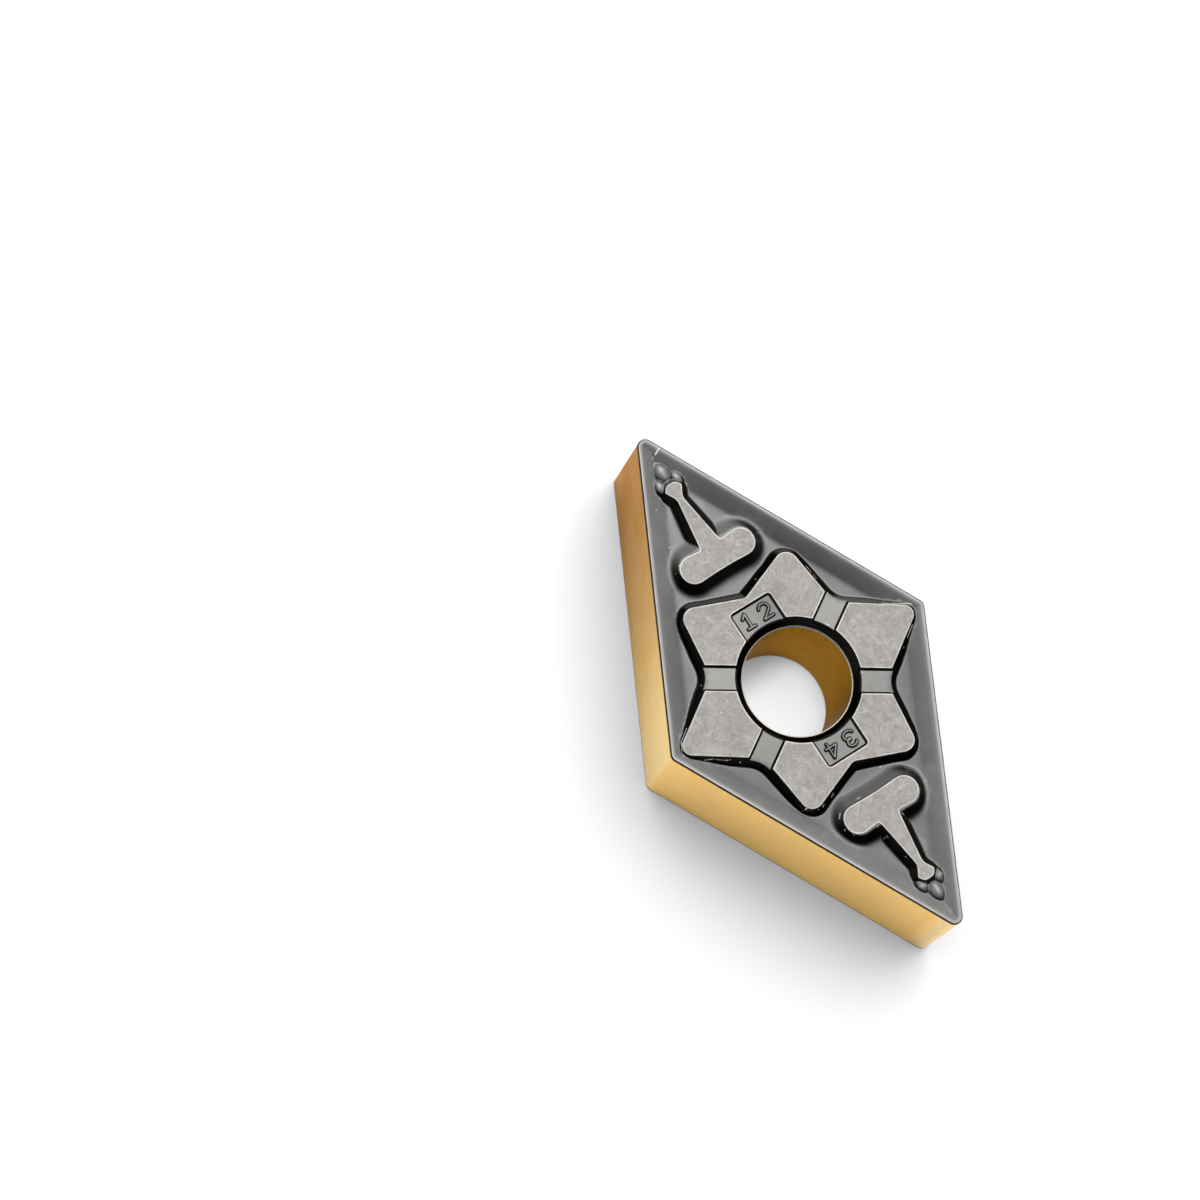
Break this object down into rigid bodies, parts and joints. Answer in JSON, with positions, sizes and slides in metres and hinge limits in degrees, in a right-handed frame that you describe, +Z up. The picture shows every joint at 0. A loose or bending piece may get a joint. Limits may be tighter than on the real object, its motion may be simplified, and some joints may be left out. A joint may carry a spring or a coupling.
{
  "type": "carbide insert",
  "caption": "Double-sided 55 degree rhombic turning insert with a clamping bore, moulded chip grooves, a star-shaped seating land and T-shaped chip formers on both faces.",
  "frame": {"origin": "on the bore axis, in the lower seating plane: the middle of the bottom", "axes": "+X along the long diagonal towards a cutting corner, +Y along the short diagonal, +Z up along the bore"},
  "size_m": [0.0266, 0.0142, 0.0063],
  "materials": {
    "coated_carbide": "cemented carbide with a dark grey alumina coat on both faces, ground bright-grey island tops, and gold titanium nitride on the flanks and in the bore"
  },
  "bodies": {
    "root": {"insert": "coated_carbide"}
  },
  "joints": []
}
